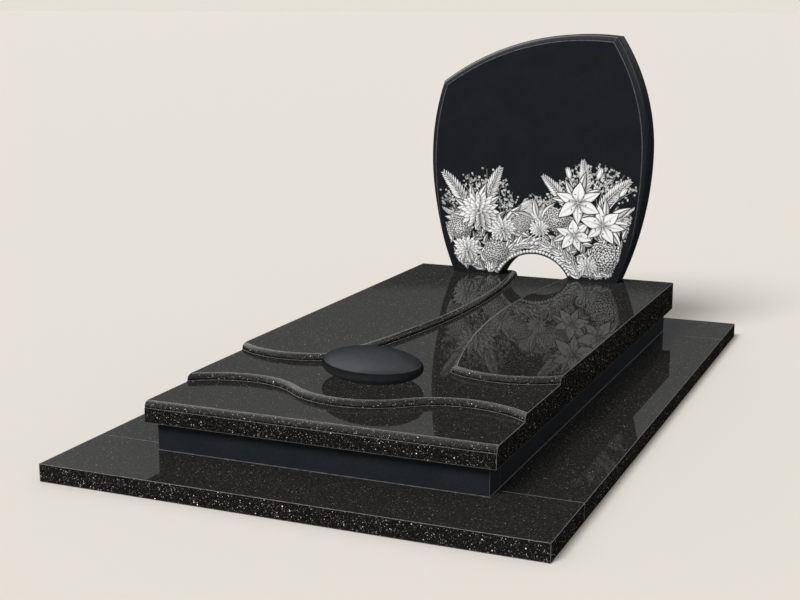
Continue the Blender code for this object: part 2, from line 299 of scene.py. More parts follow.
def pebble_stone(name, ground, foot, waterline):
    """Dark stone, waxed, even and paler above a level line by a painted sheen, dull below it, with painted
    light at the foot.
    """
    material, tree, inputs, place = new_stone(name, 0.5, 0.0)
    height = node(tree, "ShaderNodeSeparateXYZ", place).outputs["Z"]
    # Above the line the wax's gloss begins and the colour is made paler: a painted sheen.
    wax_and_painted_sheen = ranged(tree, height, waterline - WAX_EDGE, waterline + WAX_EDGE, 0.0, 1.0)
    mottle = cloud(tree, place, 45.0, 0.85, 1.2, 5.0)
    grain = cloud(tree, place, 500.0, 0.85, 1.15)
    # Towards the foot the colour is made paler: painted light against the shade under the pebble.
    depth = maths(tree, "POWER", ranged(tree, height, foot, waterline, 1.0, 0.0), FOOT_LIGHT_POWER)
    # The paleness adds the painted sheen above the line and the painted light at the foot to the bare stone's
    # tone.
    painted_sheen_and_light = maths(tree, "ADD", wax_and_painted_sheen, maths(tree, "MULTIPLY_ADD", depth, FOOT_LIGHT_TONE, BARE_TONE))
    grain_and_painted_light = maths(tree, "MULTIPLY", maths(tree, "MULTIPLY", mottle, grain), painted_sheen_and_light)
    feed(tree, inputs["Base Color"], shaded(tree, ground, grain_and_painted_light))
    bare = tree.nodes["Principled BSDF"].outputs[0]
    wax = node(tree, "ShaderNodeBsdfGlossy", color=WAX_TINT, roughness=WAX_ROUGHNESS).outputs[0]
    both = node(tree, "ShaderNodeMixShader", maths(tree, "MULTIPLY", wax_and_painted_sheen, WAX_SHARE), bare, wax)
    feed(tree, tree.nodes["Material Output"].inputs["Surface"], both.outputs[0])
    return material


# Material slots: the moulding copies carry a painted sheen; the upright copies carry painted shade on the
# speckled stones and painted light on the plinth.
POLISHED, HONED, MOULDED, UPRIGHT = 0, 1, 2, 3


def speckled_set():
    """Materials of the speckled stones, in the order of the indices above; the moulding copy carries a
    painted sheen and the upright copy painted shade.
    """
    looks = bpy.context.scene.stone_looks
    ground = Vector(looks.speckled)
    return [
        speckled_granite("speckled_polish", ground * 1.2, 0.7, 0.02, 0.012),
        honed_edge("speckled_honed", looks.honed),
        # The moulding copy is paler, with brighter flecks: a painted sheen on the rolls.
        speckled_granite("speckled_moulding_painted_sheen", ground * 1.3, 1.7, 0.20, 0.11),
        # The upright copy is darker: painted shade on the vertical faces.
        speckled_granite("speckled_upright_painted_shade", ground * 0.55, 1.42, 0.05, 0.0),
    ]


def plain_set(upright_painted_light=1.0):
    """Materials of the plain stones, in the same order: a paler moulding copy, a painted sheen, and upright
    faces made paler by a factor, painted light against their shade.
    """
    looks = bpy.context.scene.stone_looks
    ground = Vector(looks.plain)
    return [
        plain_granite("plain_satin", ground, 0.30, 0.03),
        honed_edge("plain_honed", Vector(looks.honed) * 0.6),
        # The moulding copy is paler: a painted sheen on the headstone's roll.
        plain_granite("plain_moulding_painted_sheen", ground * 1.2, 0.24, 0.27),
        plain_granite("plain_upright", ground * upright_painted_light, 0.30, 0.03),
    ]


# Making objects


def added(name, data):
    """A new object in the scene."""
    item = bpy.data.objects.new(name, data)
    bpy.context.scene.collection.objects.link(item)
    return item


def mesh_from(name, shape):
    """The bmesh as a mesh."""
    mesh = bpy.data.meshes.new(name)
    shape.to_mesh(mesh)
    shape.free()
    return mesh


def carried(name, mesh, materials, nodes):
    """A piece that rides with the monument and stands for the CAD nodes, if any."""
    for material in materials:
        mesh.materials.append(material)
    item = added(name, mesh)
    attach(item, "root")
    if nodes:
        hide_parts(*nodes)
    return item


def finish_piece(name, shape, materials, nodes):
    """Turns the bmesh's faces outwards, keeps its sharp edges and makes it a piece."""
    bmesh.ops.recalc_face_normals(shape, faces=shape.faces)
    for edge in shape.edges:
        shallow = edge.calc_face_angle(0.0) < SMOOTH_LIMIT
        edge.smooth = shallow and all(face.smooth for face in edge.link_faces)
    return carried(name, mesh_from(name, shape), materials, nodes)


# Lines and strips


def arc(centre, radius, start, end, count):
    """Evenly spaced points of an arc, both ends included."""
    angles = np.linspace(start, end, count + 1)
    return [Vector((centre[0] + radius * math.cos(a), centre[1] + radius * math.sin(a))) for a in angles]


def angle_to(centre, point):
    return math.atan2(point[1] - centre[1], point[0] - centre[0])


def chord_radius(half_chord, sag):
    return (half_chord**2 + sag**2) / (2 * sag)


def circle_crossing(centre, radius, other, other_radius, side):
    """One of two circles' crossings: side is 1 left of the line of centres, -1 right."""
    between = other - centre
    distance = between.length
    along = (distance**2 + radius**2 - other_radius**2) / (2 * distance)
    across = math.sqrt(radius**2 - along**2)
    unit = between / distance
    return centre + unit * along + Vector((-unit.y, unit.x)) * across * side


# Sine of the turn below which a corner moves along its middle line
NEARLY_STRAIGHT = 0.25


def corner_shift(before, after, distance_before, distance_after):
    """How a corner moves when the edges before and after it move to their right."""
    a = Vector((before.y, -before.x))
    b = Vector((after.y, -after.x))
    cross = a.x * b.y - a.y * b.x
    if abs(cross) < NEARLY_STRAIGHT:
        mean = (a + b).normalized()
        return mean * (distance_before + distance_after) / 2 / mean.dot(a)
    x = (distance_before * b.y - distance_after * a.y) / cross
    y = (distance_after * a.x - distance_before * b.x) / cross
    return Vector((x, y))


def offset_line(points, distance):
    """An open line moved to its right."""
    steps = [(b - a).normalized() for a, b in zip(points, points[1:])]
    steps = [steps[0]] + steps + [steps[-1]]
    return [
        p + corner_shift(steps[i], steps[i + 1], distance, distance) for i, p in enumerate(points)
    ]


def first_row(shape, places, closed=False):
    """A row of vertices joined by edges."""
    row = [shape.verts.new(place) for place in places]
    for a, b in zip(row, row[1:] + row[:1] * closed):
        shape.edges.new((a, b))
    return row


def next_row(shape, row, places, material, closed=False, smooth=True, creases=()):
    """Extrudes a row of vertices to new places: the strip gets the material, its creases are honed."""
    edges = [shape.edges.get(pair) for pair in zip(row, row[1:] + row[:1] * closed)]
    made = bmesh.ops.extrude_edge_only(shape, edges=edges)["geom"]
    order = {vert: i for i, vert in enumerate(row)}
    new = [None] * len(row)
    for part in made:
        if isinstance(part, bmesh.types.BMFace):
            part.material_index = material
            part.smooth = smooth
        elif isinstance(part, bmesh.types.BMVert):
            source = next(order[e.other_vert(part)] for e in part.link_edges if e.other_vert(part) in order)
            new[source] = part
    for vert, place in zip(new, places):
        vert.co = place
    for i in creases:
        shape.faces.get((row[i], row[i + 1], new[i + 1], new[i])).material_index = HONED
    return new


def flat(shape, corners, material=0):
    face = shape.faces.new(corners)
    face.material_index = material
    return face


def step_profile(sizes, width, depth, lead=LEDGER_CHAMFER, ledge_look=HONED):
    """Rows of a moulding as (distance out, drop, material of the strip above)."""
    roll = width - sizes.ledge - lead / 2
    rows = [(-lead, 0.0, None), (lead / 2, lead / 2, HONED)]
    for i in range(1, sizes.roll_turns + 1):
        turn = math.pi / 2 * i / sizes.roll_turns
        look = MOULDED if i < sizes.roll_turns else UPRIGHT
        rows.append((lead / 2 + roll * math.sin(turn), lead / 2 + roll * (1 - math.cos(turn)), look))
    rows.append((width - sizes.ledge, depth - LEDGE_FALL, UPRIGHT))
    rows.append((width, depth, ledge_look))
    return rows


# Surround and plinth


def cut_slab(name, node_name, materials):
    """A sawn slab with honed chamfers on its edges."""
    sizes = bpy.context.scene.stone_sizes
    low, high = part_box(node_name)
    shape = bmesh.new()
    bmesh.ops.create_cube(shape, size=1.0)
    place = Matrix.Translation((low + high) / 2) @ Matrix.Diagonal((*(high - low), 1.0))
    bmesh.ops.transform(shape, matrix=place, verts=shape.verts)
    cut = bmesh.ops.bevel(
        shape, geom=shape.edges[:], offset=sizes.arris, offset_type="OFFSET", segments=1, profile=0.5,
        affect="EDGES", material=-1,
    )
    for face in cut["faces"]:
        face.material_index = HONED
    # Vertical faces take the upright copy: on the surround its darker colour is painted shade, on the plinth
    # its paler colour painted light.
    for face in shape.faces:
        if face.material_index == POLISHED and abs(face.normal.z) < 0.5:
            face.material_index = UPRIGHT
    for vert in shape.verts:
        if vert.co.z < low.z + 1.5 * sizes.arris and vert.co.z > low.z + 0.5 * sizes.arris:
            vert.co.z = low.z + sizes.low_arris
    return finish_piece(name, shape, materials, (node_name,))


class MONUMENT_OT_surround(bpy.types.Operator):
    """Builds the four flat slabs of the surround"""

    bl_idname = "monument.surround"
    bl_label = "Surround"

    def execute(self, context):
        materials = speckled_set()
        for name in SURROUND:
            cut_slab(name + "_slab", name, materials)
        return {"FINISHED"}


class MONUMENT_OT_plinth(bpy.types.Operator):
    """Builds the four walls of the plinth"""

    bl_idname = "monument.plinth"
    bl_label = "Plinth"

    def execute(self, context):
        # The plinth's upright faces are made paler: painted light against the shade under the ledger's
        # overhang.
        materials = plain_set(1.4)
        for name in PLINTH:
            cut_slab(name + "_wall", name, materials)
        self.joint_bead(materials)
        return {"FINISHED"}

    def joint_bead(self, materials):
        """A thin pale bead of jointing where the plinth stands on the surround."""
        low = Vector([min(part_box(name)[0][axis] for name in PLINTH) for axis in range(3)])
        high = Vector([max(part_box(name)[1][axis] for name in PLINTH) for axis in range(3)])
        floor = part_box("base_front")[1].z
        shape = bmesh.new()
        row = None
        for out, height in ((-BEAD, 0.0), (BEAD, 0.0), (-BEAD, 2 * BEAD)):
            left, right, front, rear = low.x - out, high.x + out, low.y - out, high.y + out
            corners = ((left, front), (right, front), (right, rear), (left, rear))
            places = [(x, y, floor + height) for x, y in corners]
            if row:
                row = next_row(shape, row, places, HONED, closed=True, smooth=False)
            else:
                row = first_row(shape, places, closed=True)
        closing = bmesh.ops.bridge_loops(shape, edges=[edge for edge in shape.edges if edge.is_boundary])
        for face in closing["faces"]:
            face.material_index = HONED
        finish_piece("plinth_joint", shape, materials, ())


# Ledger


class LedgerPlan:
    """Curves of the ledger's steps, each at any distance out from its arris."""

    wave_front = 0.175
    trough_radius = 0.24
    crest_front = 0.299
    flank_radius = 0.235
    side_drop = 0.06
    tip_front = 0.54
    tip_half_gap = 0.1934
    side_front = 0.558
    front_bulge = 0.0527
    waist_rear = 0.58
    waist_half_gap = 0.07
    # Facets of the wave's three arcs, and of a bank's two
    trough_facets, flank_facets, outer_facets = 26, 16, 16
    lobe_facets, inner_facets = 40, 64

    def __init__(self, arris):
        self.half = LEDGER_HIGH.x - arris
        self.front = LEDGER_LOW.y
        self.rear = LEDGER_HIGH.y - arris
        self.place_wave()
        self.place_banks()

    def place_wave(self):
        flank_y = self.front + self.crest_front - self.flank_radius
        self.trough = Vector((0, self.front + self.wave_front + self.trough_radius))
        reach = self.trough_radius + self.flank_radius
        crest_x = math.sqrt(reach**2 - (self.trough.y - flank_y) ** 2)
        self.flank = Vector((crest_x, flank_y))
        self.outer_radius = chord_radius(LEDGER_HIGH.x - crest_x, self.side_drop)
        self.outer = Vector((crest_x, self.front + self.crest_front - self.outer_radius))
        self.meet = angle_to(self.trough, self.flank)

    def place_banks(self):
        tip = Vector((self.tip_half_gap, self.front + self.tip_front))
        side = Vector((LEDGER_HIGH.x, self.front + self.side_front))
        chord = side - tip
        self.lobe_radius = chord_radius(chord.length / 2, self.front_bulge)
        inward = Vector((-chord.y, chord.x)).normalized()
        self.lobe = (tip + side) / 2 + inward * (self.lobe_radius - self.front_bulge)
        waist_y = LEDGER_HIGH.y - self.waist_rear
        self.inner_radius = chord_radius(waist_y - tip.y, tip.x - self.waist_half_gap)
        self.inner = Vector((self.waist_half_gap + self.inner_radius, waist_y))

    def wave(self, out):
        """From the left side to the right side."""
        end = math.acos((self.half - self.outer.x) / (self.outer_radius - out))
        up, meet = math.pi / 2, self.meet
        right = arc(self.trough, self.trough_radius + out, -up, meet, self.trough_facets)
        right += arc(self.flank, self.flank_radius - out, meet + math.pi, up, self.flank_facets)[1:]
        right += arc(self.outer, self.outer_radius - out, up, end, self.outer_facets)[1:]
        return [Vector((-p.x, p.y)) for p in reversed(right[1:])] + right

    def bank(self, out):
        """Right bank, from the side round its front to the tip, then along the river to the rear."""
        lobe_radius = self.lobe_radius + out
        inner_radius = self.inner_radius + out
        tip = circle_crossing(self.lobe, lobe_radius, self.inner, inner_radius, -1)
        start = -math.acos((self.half - self.lobe.x) / lobe_radius)
        front = arc(self.lobe, lobe_radius, start, angle_to(self.lobe, tip), self.lobe_facets)
        tip_angle = angle_to(self.inner, tip) % (2 * math.pi)
        rear_angle = math.pi - math.asin((self.rear - self.inner.y) / inner_radius)
        return front + arc(self.inner, inner_radius, tip_angle, rear_angle, self.inner_facets)[1:]


def moulded_step(shape, profile, level, line, riser):
    """Rows of vertices down a step, joined by strips: line(out) gives the plan of each row."""
    rows = []
    for out, drop, material in profile:
        places = [(p.x, p.y, level - drop) for p in line(out)]
        rows.append(next_row(shape, rows[-1], places, material) if rows else first_row(shape, places))
    places = [(v.co.x, v.co.y, riser) for v in rows[-1]]
    rows.append(next_row(shape, rows[-1], places, UPRIGHT))
    return rows


def mirrored_line(line):
    """The same line on the left, still running from the side to the rear."""
    return lambda out: [Vector((-p.x, p.y)) for p in line(out)]


def joined(shape, verts):
    """The same vertices, with an edge between each two neighbours."""
    for pair in zip(verts, verts[1:]):
        if shape.edges.get(pair) is None:
            shape.edges.new(pair)
    return verts


def chamfer_row(shape, verts, fixed_axis, edge_value, arris):
    """Joins a row on the top to a new row on a vertical face, a chamfer's width lower and further out."""
    free_axis = 1 - fixed_axis
    places = []
    for p in offset_line([Vector((v.co[free_axis], v.co.z)) for v in verts], arris):
        place = [0.0, 0.0, p.y]
        place[fixed_axis] = edge_value
        place[free_axis] = p.x
        places.append(place)
    return next_row(shape, joined(shape, verts), places, HONED, smooth=False)


class MONUMENT_OT_ledger(bpy.types.Operator):
    """Builds the polished covering slab with its nose, river bed and banks"""

    bl_idname = "monument.ledger"
    bl_label = "Ledger"

    def execute(self, context):
        sizes = context.scene.stone_sizes
        arris = sizes.arris
        plan = LedgerPlan(arris)
        shape = bmesh.new()
        bottom = LEDGER_LOW.z
        profile = step_profile(sizes, sizes.moulding, STEP_RISE - RISER)
        nose_y = plan.front + sizes.moulding
        nose_line = lambda out: [Vector((-plan.half, nose_y - out)), Vector((plan.half, nose_y - out))]
        nose = moulded_step(shape, profile, FRONT_LEVEL, nose_line, bottom + sizes.low_arris)
        wave = moulded_step(shape, profile, RIVER_LEVEL, plan.wave, FRONT_LEVEL)
        right = moulded_step(shape, profile, BANK_LEVEL, plan.bank, RIVER_LEVEL)
        left = moulded_step(shape, profile, BANK_LEVEL, mirrored_line(plan.bank), RIVER_LEVEL)
        far_right = shape.verts.new((plan.half, plan.rear, BANK_LEVEL))
        far_left = shape.verts.new((-plan.half, plan.rear, BANK_LEVEL))
        flat(shape, nose[0] + wave[-1][::-1])
        flat(shape, wave[0] + right[-1] + left[-1][::-1])
        flat(shape, right[0] + [far_right])
        flat(shape, left[0] + [far_left])
        ends = {}
        for side, index, bank, far in ((1, -1, right, far_right), (-1, 0, left, far_left)):
            line = [row[index] for row in reversed(nose)] + [row[index] for row in reversed(wave)]
            line += [row[0] for row in reversed(bank)] + [far]
            row = chamfer_row(shape, line, 0, side * LEDGER_HIGH.x, arris)
            foot = shape.verts.new((side * LEDGER_HIGH.x, plan.rear, bottom + sizes.low_arris))
            flat(shape, row + [foot], UPRIGHT)
            ends[side] = (row[0], row[-1], foot)
        rear = [far_left] + [row[-1] for row in left] + [row[-1] for row in reversed(right)] + [far_right]
        row = chamfer_row(shape, rear, 1, LEDGER_HIGH.y, arris)
        low_left = shape.verts.new((-plan.half, LEDGER_HIGH.y, bottom + sizes.low_arris))
        low_right = shape.verts.new((plan.half, LEDGER_HIGH.y, bottom + sizes.low_arris))
        flat(shape, row + [low_right, low_left], UPRIGHT)
        for side, top, low, far in ((-1, row[0], low_left, far_left), (1, row[-1], low_right, far_right)):
            flat(shape, (ends[side][1], top, low, ends[side][2]), HONED)
            flat(shape, (ends[side][1], top, far), HONED)
        self.close_bottom(shape, plan, nose, ends, low_left, low_right, bottom)
        finish_piece("ledger_slab", shape, speckled_set(), ("ledger",))
        return {"FINISHED"}

    def close_bottom(self, shape, plan, nose, ends, low_left, low_right, bottom):
        """The chamfer round the underside and the underside itself."""
        sides = (ends[1][0], ends[1][2], low_right, low_left, ends[-1][2], ends[-1][0])
        ring = [*nose[-1], *sides]
        front = plan.front + bpy.context.scene.stone_sizes.arris
        corners = [(-plan.half, front), (plan.half, front), (plan.half, plan.rear), (-plan.half, plan.rear)]
        under = [shape.verts.new((x, y, bottom)) for x, y in corners]
        for i in range(4):
            after = under[(i + 1) % 4]
            flat(shape, (ring[2 * i], ring[2 * i + 1], after, under[i]), HONED)
            flat(shape, (ring[2 * i + 1], ring[(2 * i + 2) % 8], after), HONED)
        flat(shape, under)


# Headstone


class HeadstonePlan:
    """Outline of the upright slab about its own middle, with heights from its foot."""

    height = 0.9027
    half_foot = 0.32
    half_full = 0.4195
    crown_offset = 0.1772
    top_radius = 0.9375
    # Each side's upper radius, its widest height, and the height where its lower arc meets the upper one
    right_side = (0.7542, 0.4767, 0.4597)
    left_side = (0.8394, 0.4478, 0.3166)
    # Heights where the moulding dies out and where it is whole, and the angle of a honed corner's strip
    dies_height = 0.10
    full_height = 0.49
    crease = 0.0016
    arch_span = 0.271
    arch_rise = 0.087
    lower_facets, upper_facets, crown_facets, arch_facets = 34, 26, 48, 44

    def __init__(self):
        self.middle = (STONE_LOW.x + STONE_HIGH.x) / 2
        self.foot = STONE_LOW.z
        self.top = Vector((self.crown_offset, self.height - self.top_radius))
        self.arch_radius = chord_radius(self.arch_span / 2, self.arch_rise)
        self.arch_height = self.arch_rise - self.arch_radius

    def side(self, sign, radius, widest, join):
        """Foot to top corner of one side."""
        upper = Vector((self.half_full - radius, widest))
        top = Vector((sign * self.top.x, self.top.y))
        corner = circle_crossing(upper, radius, top, self.top_radius, 1)
        bend = math.asin((join - widest) / radius)
        outward = Vector((math.cos(bend), math.sin(bend)))
        joint = upper + outward * radius
        chord = Vector((self.half_foot, 0)) - joint
        lower_radius = -chord.length_squared / (2 * chord.dot(outward))
        lower = joint - outward * lower_radius
        foot = angle_to(lower, (self.half_foot, 0))
        points = arc(lower, lower_radius, foot, bend, self.lower_facets)
        points += arc(upper, radius, bend, angle_to(upper, corner), self.upper_facets)[1:]
        return [Vector((sign * p.x, p.y)) for p in points]

    def share(self, height):
        """The moulding's share of its full width, which dies away down the sides."""
        climb = (height - self.dies_height) / (self.full_height - self.dies_height)
        return math.sin(math.pi / 2 * min(max(climb, 0.0), 1.0))

    def outline(self, least):
        """Points counter-clockwise from the front, with the moulding's share at each point's two edges."""
        right = self.side(1, *self.right_side)
        left = self.side(-1, *self.left_side)[::-1]
        first, last = angle_to(self.top, right[-1]), angle_to(self.top, left[0])
        first, last = first + self.crease, last - self.crease
        crown = arc(self.top, self.top_radius, first, last, self.crown_facets)
        self.creases = len(right) - 1, len(right) + len(crown) - 1
        full_right = next(i for i, p in enumerate(right) if p.y >= self.full_height)
        full_left = max(i for i, p in enumerate(left) if p.y >= self.full_height) + len(right) + len(crown)
        centres = [Vector((sign * (self.half_full - radius), widest)) for sign, (radius, widest, _) in (
            (1, self.right_side), (-1, self.left_side),
        )]
        self.arcs = (
            (centres[0], full_right, self.creases[0], 0.0),
            (self.top, self.creases[0], self.creases[1] + 1, self.crease),
            (centres[1], self.creases[1] + 1, full_left, 0.0),
        )
        centre = Vector((0, self.arch_height))
        start, end = [angle_to(centre, (sign * self.arch_span / 2, 0)) for sign in (-1, 1)]
        arch = arc(centre, self.arch_radius, start, end, self.arch_facets)
        share = lambda p: (max(self.share(p.y), least),) * 2
        shares = [share(p) for p in right] + [(1.0, 1.0)] * len(crown) + [share(p) for p in left]
        shares += [(least, least)] * len(arch)
        shares[0] = (0.0, shares[0][1])
        shares[-len(arch) - 1] = (shares[-len(arch) - 1][0], 0.0)
        shares[-len(arch)] = (0.0, least)
        shares[-1] = (least, 0.0)
        return right + crown + left + arch, shares

    def respaced(self, points):
        """Spreads the points of each arc evenly between its moved corners."""
        for centre, i, j, crease in self.arcs:
            start, end = angle_to(centre, points[i]), angle_to(centre, points[j])
            radius = (points[i] - centre).length
            if crease:
                points[i + 1 : j] = arc(centre, radius, start + crease, end - crease, j - i - 2)
            else:
                points[i + 1 : j] = arc(centre, radius, start, end, j - i)[1:-1]
        return points

    def room(self, height):
        """The left and right limits of the face at a height."""
        found = []
        for sign, (radius, widest, join) in ((-1, self.left_side), (1, self.right_side)):
            line = self.side(sign, radius, widest, join)
            found.append(float(np.interp(height, [p.y for p in line], [p.x for p in line])))
        return found


class MONUMENT_OT_headstone(bpy.types.Operator):
    """Builds the upright slab with its moulded front edge"""

    bl_idname = "monument.headstone"
    bl_label = "Headstone"

    def execute(self, context):
        sizes = context.scene.stone_sizes
        plan = HeadstonePlan()
        width = sizes.headstone_moulding
        least = sizes.arris / width
        points, shares = plan.outline(least)
        steps = [(b - a).normalized() for a, b in zip(points, points[1:] + points[:1])]
        back = [(least * (a > 0), least * (b > 0)) for a, b in shares]
        shape = bmesh.new()

        def ring(amounts, inward, depth):
            moved = [
                point + corner_shift(steps[i - 1], steps[i], -inward * before, -inward * after)
                for i, (point, (before, after)) in enumerate(zip(points, amounts))
            ]
            return [
                (plan.middle + place.x, STONE_LOW.y + depth(max(share)), plan.foot + place.y)
                for place, share in zip(plan.respaced(moved), amounts)
            ]

        thickness = STONE_HIGH.y - STONE_LOW.y
        rim = first_row(shape, ring(back, width, lambda share: thickness), closed=True)
        row = next_row(shape, rim, ring(back, 0.0, lambda share: thickness - sizes.arris), HONED, closed=True)
        above = UPRIGHT
        profile = step_profile(sizes, width, width, HEADSTONE_CHAMFER, MOULDED)
        for out, drop, material in reversed(profile):
            places = ring(shares, width - out, lambda share, drop=drop: drop * share)
            row = next_row(shape, row, places, above, closed=True, creases=plan.creases)
            above = material
        flat(shape, rim)
        flat(shape, row)
        finish_piece("headstone_slab", shape, plain_set(), ("headstone",))
        return {"FINISHED"}


# Etched garland


def placed(start, along, across, heading):
    """Where a step along and across a heading leads, in numbers or in arrays."""
    cosine, sine = math.cos(heading), math.sin(heading)
    return start[0] + along * cosine - across * sine, start[1] + along * sine + across * cosine


class Mark:
    """A flat mark one unit long, from the origin along +X, shaped and shaded from a grid."""

    def __init__(self, rows, columns, outline, tone):
        shape = bmesh.new()
        bmesh.ops.create_grid(shape, x_segments=rows, y_segments=columns, size=1.0)
        along = np.array([(v.co.x + 1) / 2 for v in shape.verts])
        across = np.array([v.co.y for v in shape.verts])
        self.faces = np.array([[v.index for v in face.verts] for face in shape.faces])
        shape.free()
        self.points = np.stack([along, across * outline(along)], axis=1)
        self.tones = tone(along, across)


def rounded_tip(along):
    return 0.5 * np.maximum(np.sqrt(along) * (1 - along**5), 0.04)


def oval(along):
    return 0.5 * np.maximum(np.sqrt(np.clip(1 - (2 * along - 1) ** 2, 0.0, 1.0)), 0.05)


def pointed(along):
    return 0.5 * np.maximum(np.sin(np.pi * along**0.85), 0.03)


def straight(along):
    return np.full(len(along), 0.5)


def petal_tone(along, across):
    return 0.02 + 1.15 * along**0.9 * (1 - 0.30 * across**2)


def leaf_tone(along, across):
    """Bright on one half, half-dark on the other, with a dark midrib."""
    swell = np.sin(np.pi * np.minimum(np.abs(across) * 1.1, 1.0)) ** 0.7
    halves = np.where(across > 0, 1.15, 0.55) * (0.30 + 0.70 * swell)
    return 0.02 + halves * (0.55 + 0.45 * np.sin(np.pi * along)) * (np.abs(across) > 0.05)


def lily_tone(along, across):
    """Bright lobes either side of a fine dark channel, darker towards the throat."""
    throat = np.clip(along * 2.4, 0.0, 1.0)
    return 0.03 + 1.2 * throat * (0.45 + 0.55 * np.sin(np.pi * np.minimum(np.abs(across) * 1.2, 1.0)))


def dark_tone(along, across):
    return np.full(len(along), 0.012)


class Garland:
    """Flat etched marks in the headstone's plane, in layers a few micrometres apart."""

    first_layer, layer_step = 1e-4, 6e-6
    edge_margin, arch_margin, foot_margin = 0.0245, 0.003, 0.003
    # Rings of a bloom: reach, petals, petal width
    rings = ((1.0, 15, 0.33), (0.84, 13, 0.31), (0.68, 11, 0.28), (0.52, 9, 0.24), (0.37, 7, 0.20))
    # How far blooms, lilies and round heads are flattened by the way they face
    bloom_squash, lily_squash, cluster_squash = 0.88, 0.82, 0.86
    heart_petals, florets, golden_turn = 9, 74, 2.39996
    mist_stems, mist_spread, blossoms = 7, 0.55, 15
    small_leaves, high_leaves = 640, 420
    fern_pairs, pearls, laurel_nodes, berry_size = 15, 28, 15, 0.0062
    # How the tones become colours
    gain, contrast, brightest = 1.45, 1.3, 0.97

    def __init__(self, plan):
        self.plan = plan
        self.dice = random.Random(11)
        self.vary = self.dice.uniform
        self.points, self.faces, self.tones = [], [], []
        self.count = 0
        heights = np.linspace(0.0, 0.6, 61)
        limits = np.array([plan.room(height) for height in heights])
        self.limits = heights, limits[:, 0] + self.edge_margin, limits[:, 1] - self.edge_margin
        self.petal = Mark(5, 2, rounded_tip, petal_tone)
        self.floret = Mark(2, 2, rounded_tip, lambda along, across: 0.25 + 0.85 * along)
        self.leaf = Mark(6, 6, pointed, leaf_tone)
        self.lily = Mark(8, 8, pointed, lily_tone)
        self.leaflet = Mark(3, 2, pointed, lambda along, across: 0.40 + 0.65 * along - 0.3 * (across < 0))
        self.shade = Mark(4, 1, pointed, dark_tone)
        self.round_shade = Mark(4, 1, rounded_tip, dark_tone)
        self.pearl = Mark(5, 2, oval, lambda along, across: 0.25 + 0.8 * np.clip(across + 1.1 - along, 0, 1))
        self.pearl_shade = Mark(5, 1, oval, dark_tone)
        self.stem = Mark(6, 1, straight, lambda along, across: 0.72 + 0.2 * across)

    def fits(self, x, height):
        """Whether all points lie on the stone's face, clear of its edges and the arch."""
        heights, left, right = self.limits
        beside = (x > np.interp(height, heights, left)) & (x < np.interp(height, heights, right))
        outside = np.hypot(x, height - self.plan.arch_height) > self.plan.arch_radius + self.arch_margin
        return bool((beside & (height > self.foot_margin) & outside).all())

    def stamp(self, mark, start, size, angle, level, bend=0.0, shade=1.0):
        """Puts a mark of a length and a width down if it fits, and says whether it did."""
        along, across = (mark.points * size).T
        x, height = placed(start, along, across + bend * along**2 / size[0], angle)
        if not self.fits(x, height):
            return False
        depth = np.full(len(x), self.first_layer + level * self.layer_step)
        self.points.append(np.stack([x, height, depth], axis=1))
        self.tones.append(mark.tones * shade)
        self.faces.append(mark.faces + self.count)
        self.count += len(x)
        return True

    def inlaid(self, mark, under, start, size, angle, level, bend, shade, rim=1.2):
        """A mark over a slightly wider dark one, so that it stands clear of its neighbours."""
        if self.stamp(mark, start, size, angle, level, bend, shade):
            self.stamp(under, start, (size[0] * 1.05, size[1] * rim), angle, level - 0.5, bend)

    def light(self, angle):
        """Marks that face the upper left are brighter."""
        return 0.85 + 0.2 * math.cos(angle - math.radians(125))

    def bloom(self, start, radius, level, turn):
        """A many-petalled flower seen from the front."""
        for ring, (reach, count, width) in enumerate(self.rings):
            for i in range(count):
                angle = turn + math.tau * (i + 0.5 * (ring % 2)) / count + self.vary(-0.05, 0.05)
                way = Vector((math.cos(angle), math.sin(angle) * self.bloom_squash))
                length = radius * reach * way.length * self.vary(0.92, 1.05)
                base = (start[0] + way.x * radius * 0.04, start[1] + way.y * radius * 0.04)
                shade = self.light(angle) * self.vary(0.9, 1.1)
                bend = self.vary(-0.12, 0.12)
                angle = math.atan2(way.y, way.x)
                here = level + 3 * ring + i % 3
                size = (length, radius * width)
                self.inlaid(self.petal, self.round_shade, base, size, angle, here, bend, shade, 1.16)
        for i in range(self.heart_petals):
            angle = i * 2.4
            base = placed(start, radius * 0.014 * i**0.5, 0.0, angle)
            size = (radius * 0.14, radius * 0.10)
            self.stamp(self.petal, base, size, angle, level + 16 + i % 3, 0.0, 0.9)

    def star(self, start, radius, level, turn, lean):
        """A six-petalled lily."""
        for layer, (wide, tone) in enumerate(((0.40, 0.88), (0.50, 1.05))):
            for i in range(3):
                angle = turn + math.tau * (i / 3 + layer / 6)
                way = Vector((math.cos(angle), math.sin(angle) * self.lily_squash))
                way.rotate(Matrix.Rotation(lean, 2))
                length = radius * way.length * self.vary(0.95, 1.05)
                bend = self.vary(-0.22, 0.22)
                shade = tone * (0.6 + 0.4 * self.light(angle))
                angle = math.atan2(way.y, way.x)
                here = level + 4 * layer + i
                size = (length, radius * wide)
                self.inlaid(self.lily, self.shade, start, size, angle, here, bend, shade, 1.16)
        for i in range(6):
            angle = turn + 0.35 + math.tau * i / 6
            reach = radius * self.vary(0.34, 0.44)
            self.stamp(self.stem, start, (reach, 0.0016), angle, level + 9, 0.3)
            end = placed(start, reach * 0.94, 0.0, angle)
            self.stamp(self.shade, end, (0.009, 0.0042), angle + 1.2, level + 10)

